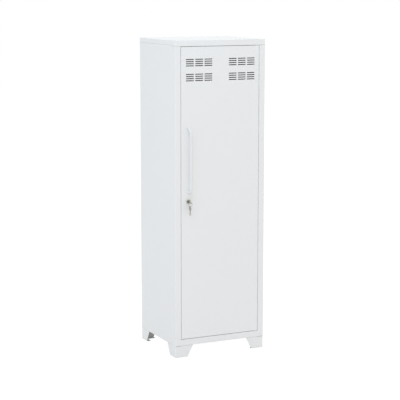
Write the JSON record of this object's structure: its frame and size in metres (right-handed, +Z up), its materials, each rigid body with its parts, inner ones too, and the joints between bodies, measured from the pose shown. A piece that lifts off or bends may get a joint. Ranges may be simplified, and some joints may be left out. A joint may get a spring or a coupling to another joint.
{
  "type": "locker cabinet",
  "caption": "Tall single-door steel locker cabinet on pressed feet, with vent slots, a round-bar handle, a cam lock with keys on a ring, and shelves with a hanging rail inside.",
  "frame": {"origin": "on the floor, halfway across the width and halfway between the front of the handle and the back of the body", "axes": "+X to the right seen from the front, +Y to the back, +Z up; the door faces -Y"},
  "size_m": [0.4, 0.3852, 1.28],
  "materials": {
    "body_paint": "fine satin powder coat",
    "zinc": "bright zinc plate",
    "chrome": "polished",
    "nylon": "moulded",
    "rubber": "moulded",
    "lock_metal": "bright nickel plate",
    "plug_metal": "satin nickel plate, dulled",
    "key_metal": "nickel plate, lightly worn",
    "ring_steel": "bright wire"
  },
  "bodies": {
    "carcass": {"left_side_panel": "body_paint", "right_side_panel": "body_paint", "back_panel": "body_paint", "top_cap": "body_paint", "header_rail": "body_paint", "base_rail": "body_paint", "floor_tray": "body_paint", "foot_front_left": "body_paint", "foot_front_right": "body_paint", "foot_rear_left": "body_paint", "foot_rear_right": "body_paint", "foot_bolts": "zinc", "foot_nuts": "zinc", "cap_screws": "zinc", "back_screws": "zinc", "upper_shelf": "body_paint", "lower_shelf": "body_paint", "shelf_brackets": "body_paint", "hanging_rail": "chrome", "rail_sockets": "chrome", "lower_hinge_pin": "zinc", "upper_hinge_pin": "zinc"},
    "door": {"hinge_bushes": "nylon", "door_panel": "body_paint", "door_stiffener": "body_paint", "door_bumpers": "rubber", "door_handle": "body_paint", "handle_screws": "zinc", "lock_barrel": "lock_metal", "lock_nut": "zinc"},
    "lock_plug": {"lock_plug": "plug_metal", "lock_cam": "zinc", "cam_screw": "zinc"},
    "key": {"key": "key_metal"},
    "key_ring": {"key_ring": "ring_steel"},
    "spare_key": {"spare_key": "key_metal"}
  },
  "joints": [
    {"name": "door_hinge", "type": "hinge", "parent": "carcass", "child": "door", "pos_m": [0.1643, -0.153, 0], "axis": [0, 0, 1], "range_deg": [0, 110]},
    {"name": "lock_turn", "type": "hinge", "parent": "door", "child": "lock_plug", "pos_m": [-0.1423, -0.1585, 0.639], "axis": [0, 1, 0], "range_deg": [0, 90]},
    {"name": "key_pull", "type": "slide", "parent": "lock_plug", "child": "key", "axis": [0, -1, 0], "range_m": [0, 0.022]},
    {"name": "ring_hang", "type": "hinge", "parent": "key", "child": "key_ring", "pos_m": [-0.1423, -0.1757, 0.639], "axis": [0, 1, 0], "range_deg": [-90, 0]},
    {"name": "spare_key_swing", "type": "hinge", "parent": "key_ring", "child": "spare_key", "pos_m": [-0.1423, -0.1757, 0.6208], "axis": [1, 0, 0], "range_deg": [-60, 15]}
  ],
  "couplings": [
    {"joint": "ring_hang", "follows": "lock_turn", "ratio": -1}
  ]
}
